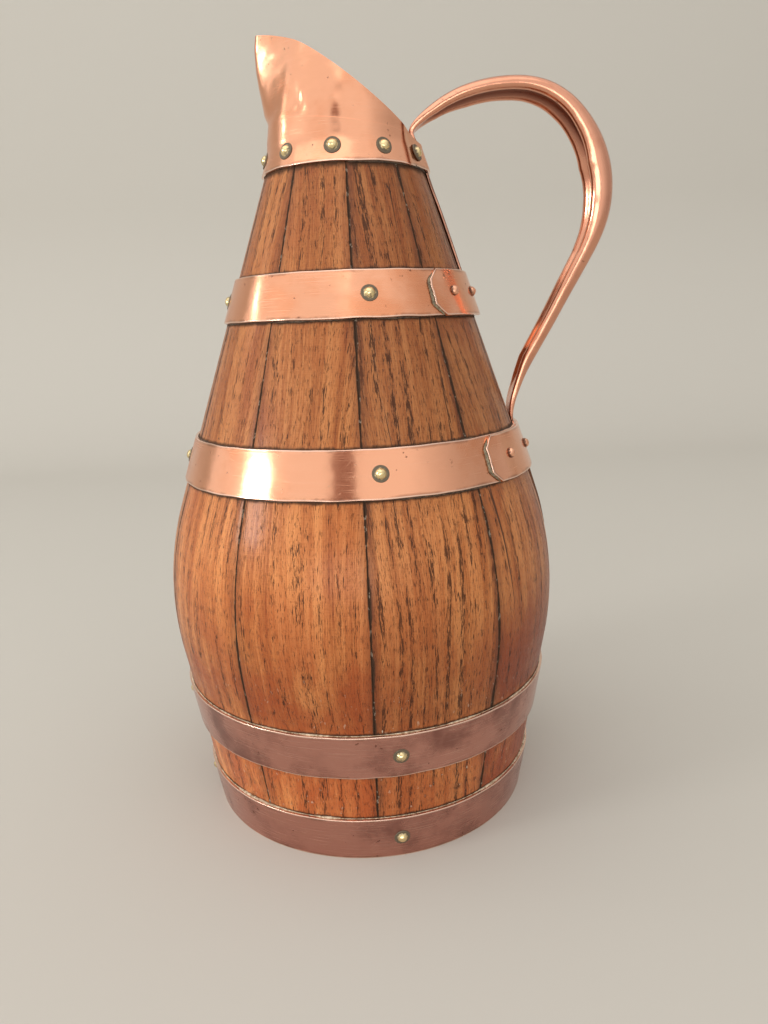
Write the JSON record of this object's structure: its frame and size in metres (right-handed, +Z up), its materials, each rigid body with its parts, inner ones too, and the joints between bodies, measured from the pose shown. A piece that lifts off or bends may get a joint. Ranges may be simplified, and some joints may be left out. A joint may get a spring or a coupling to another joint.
{
  "type": "coopered pitcher",
  "caption": "Coopered oak pitcher with a swelling belly and narrow neck, bound by copper hoops, with a copper collar, pouring lip and rolled loop handle.",
  "frame": {"origin": "centre of the foot, on the surface that the pitcher stands on", "axes": "+Z up along the staves' axis, +X towards the handle, -X towards the pouring lip"},
  "size_m": [0.1527, 0.1324, 0.25],
  "materials": {
    "varnished_oak": "varnished open-pored oak, worn and darkened at the joints and beside the hoops",
    "polished_copper": "polished sheet copper, finely scratched, with a few brown stains",
    "dark_copper": "older polish, slightly browned copper with bright edges",
    "handle_copper": "hand-polished rolled copper with dark creases",
    "brass_nails": "domed brass, polished on top and dull green-brown round the edge",
    "copper_rivets": "hammered copper rivet heads"
  },
  "bodies": {
    "root": {"stave_01": "varnished_oak", "stave_02": "varnished_oak", "stave_03": "varnished_oak", "stave_04": "varnished_oak", "stave_05": "varnished_oak", "stave_06": "varnished_oak", "stave_07": "varnished_oak", "stave_08": "varnished_oak", "stave_09": "varnished_oak", "stave_10": "varnished_oak", "bottom_head": "varnished_oak", "foot_hoop": "dark_copper", "foot_hoop_nails": "brass_nails", "foot_hoop_rivets": "copper_rivets", "belly_hoop": "dark_copper", "belly_hoop_nails": "brass_nails", "belly_hoop_rivets": "copper_rivets", "shoulder_hoop": "polished_copper", "shoulder_hoop_nails": "brass_nails", "shoulder_hoop_rivets": "copper_rivets", "neck_hoop": "polished_copper", "neck_hoop_nails": "brass_nails", "neck_hoop_rivets": "copper_rivets", "collar_band": "polished_copper", "pouring_lip": "polished_copper", "collar_nails": "brass_nails", "handle": "handle_copper"}
  },
  "joints": []
}
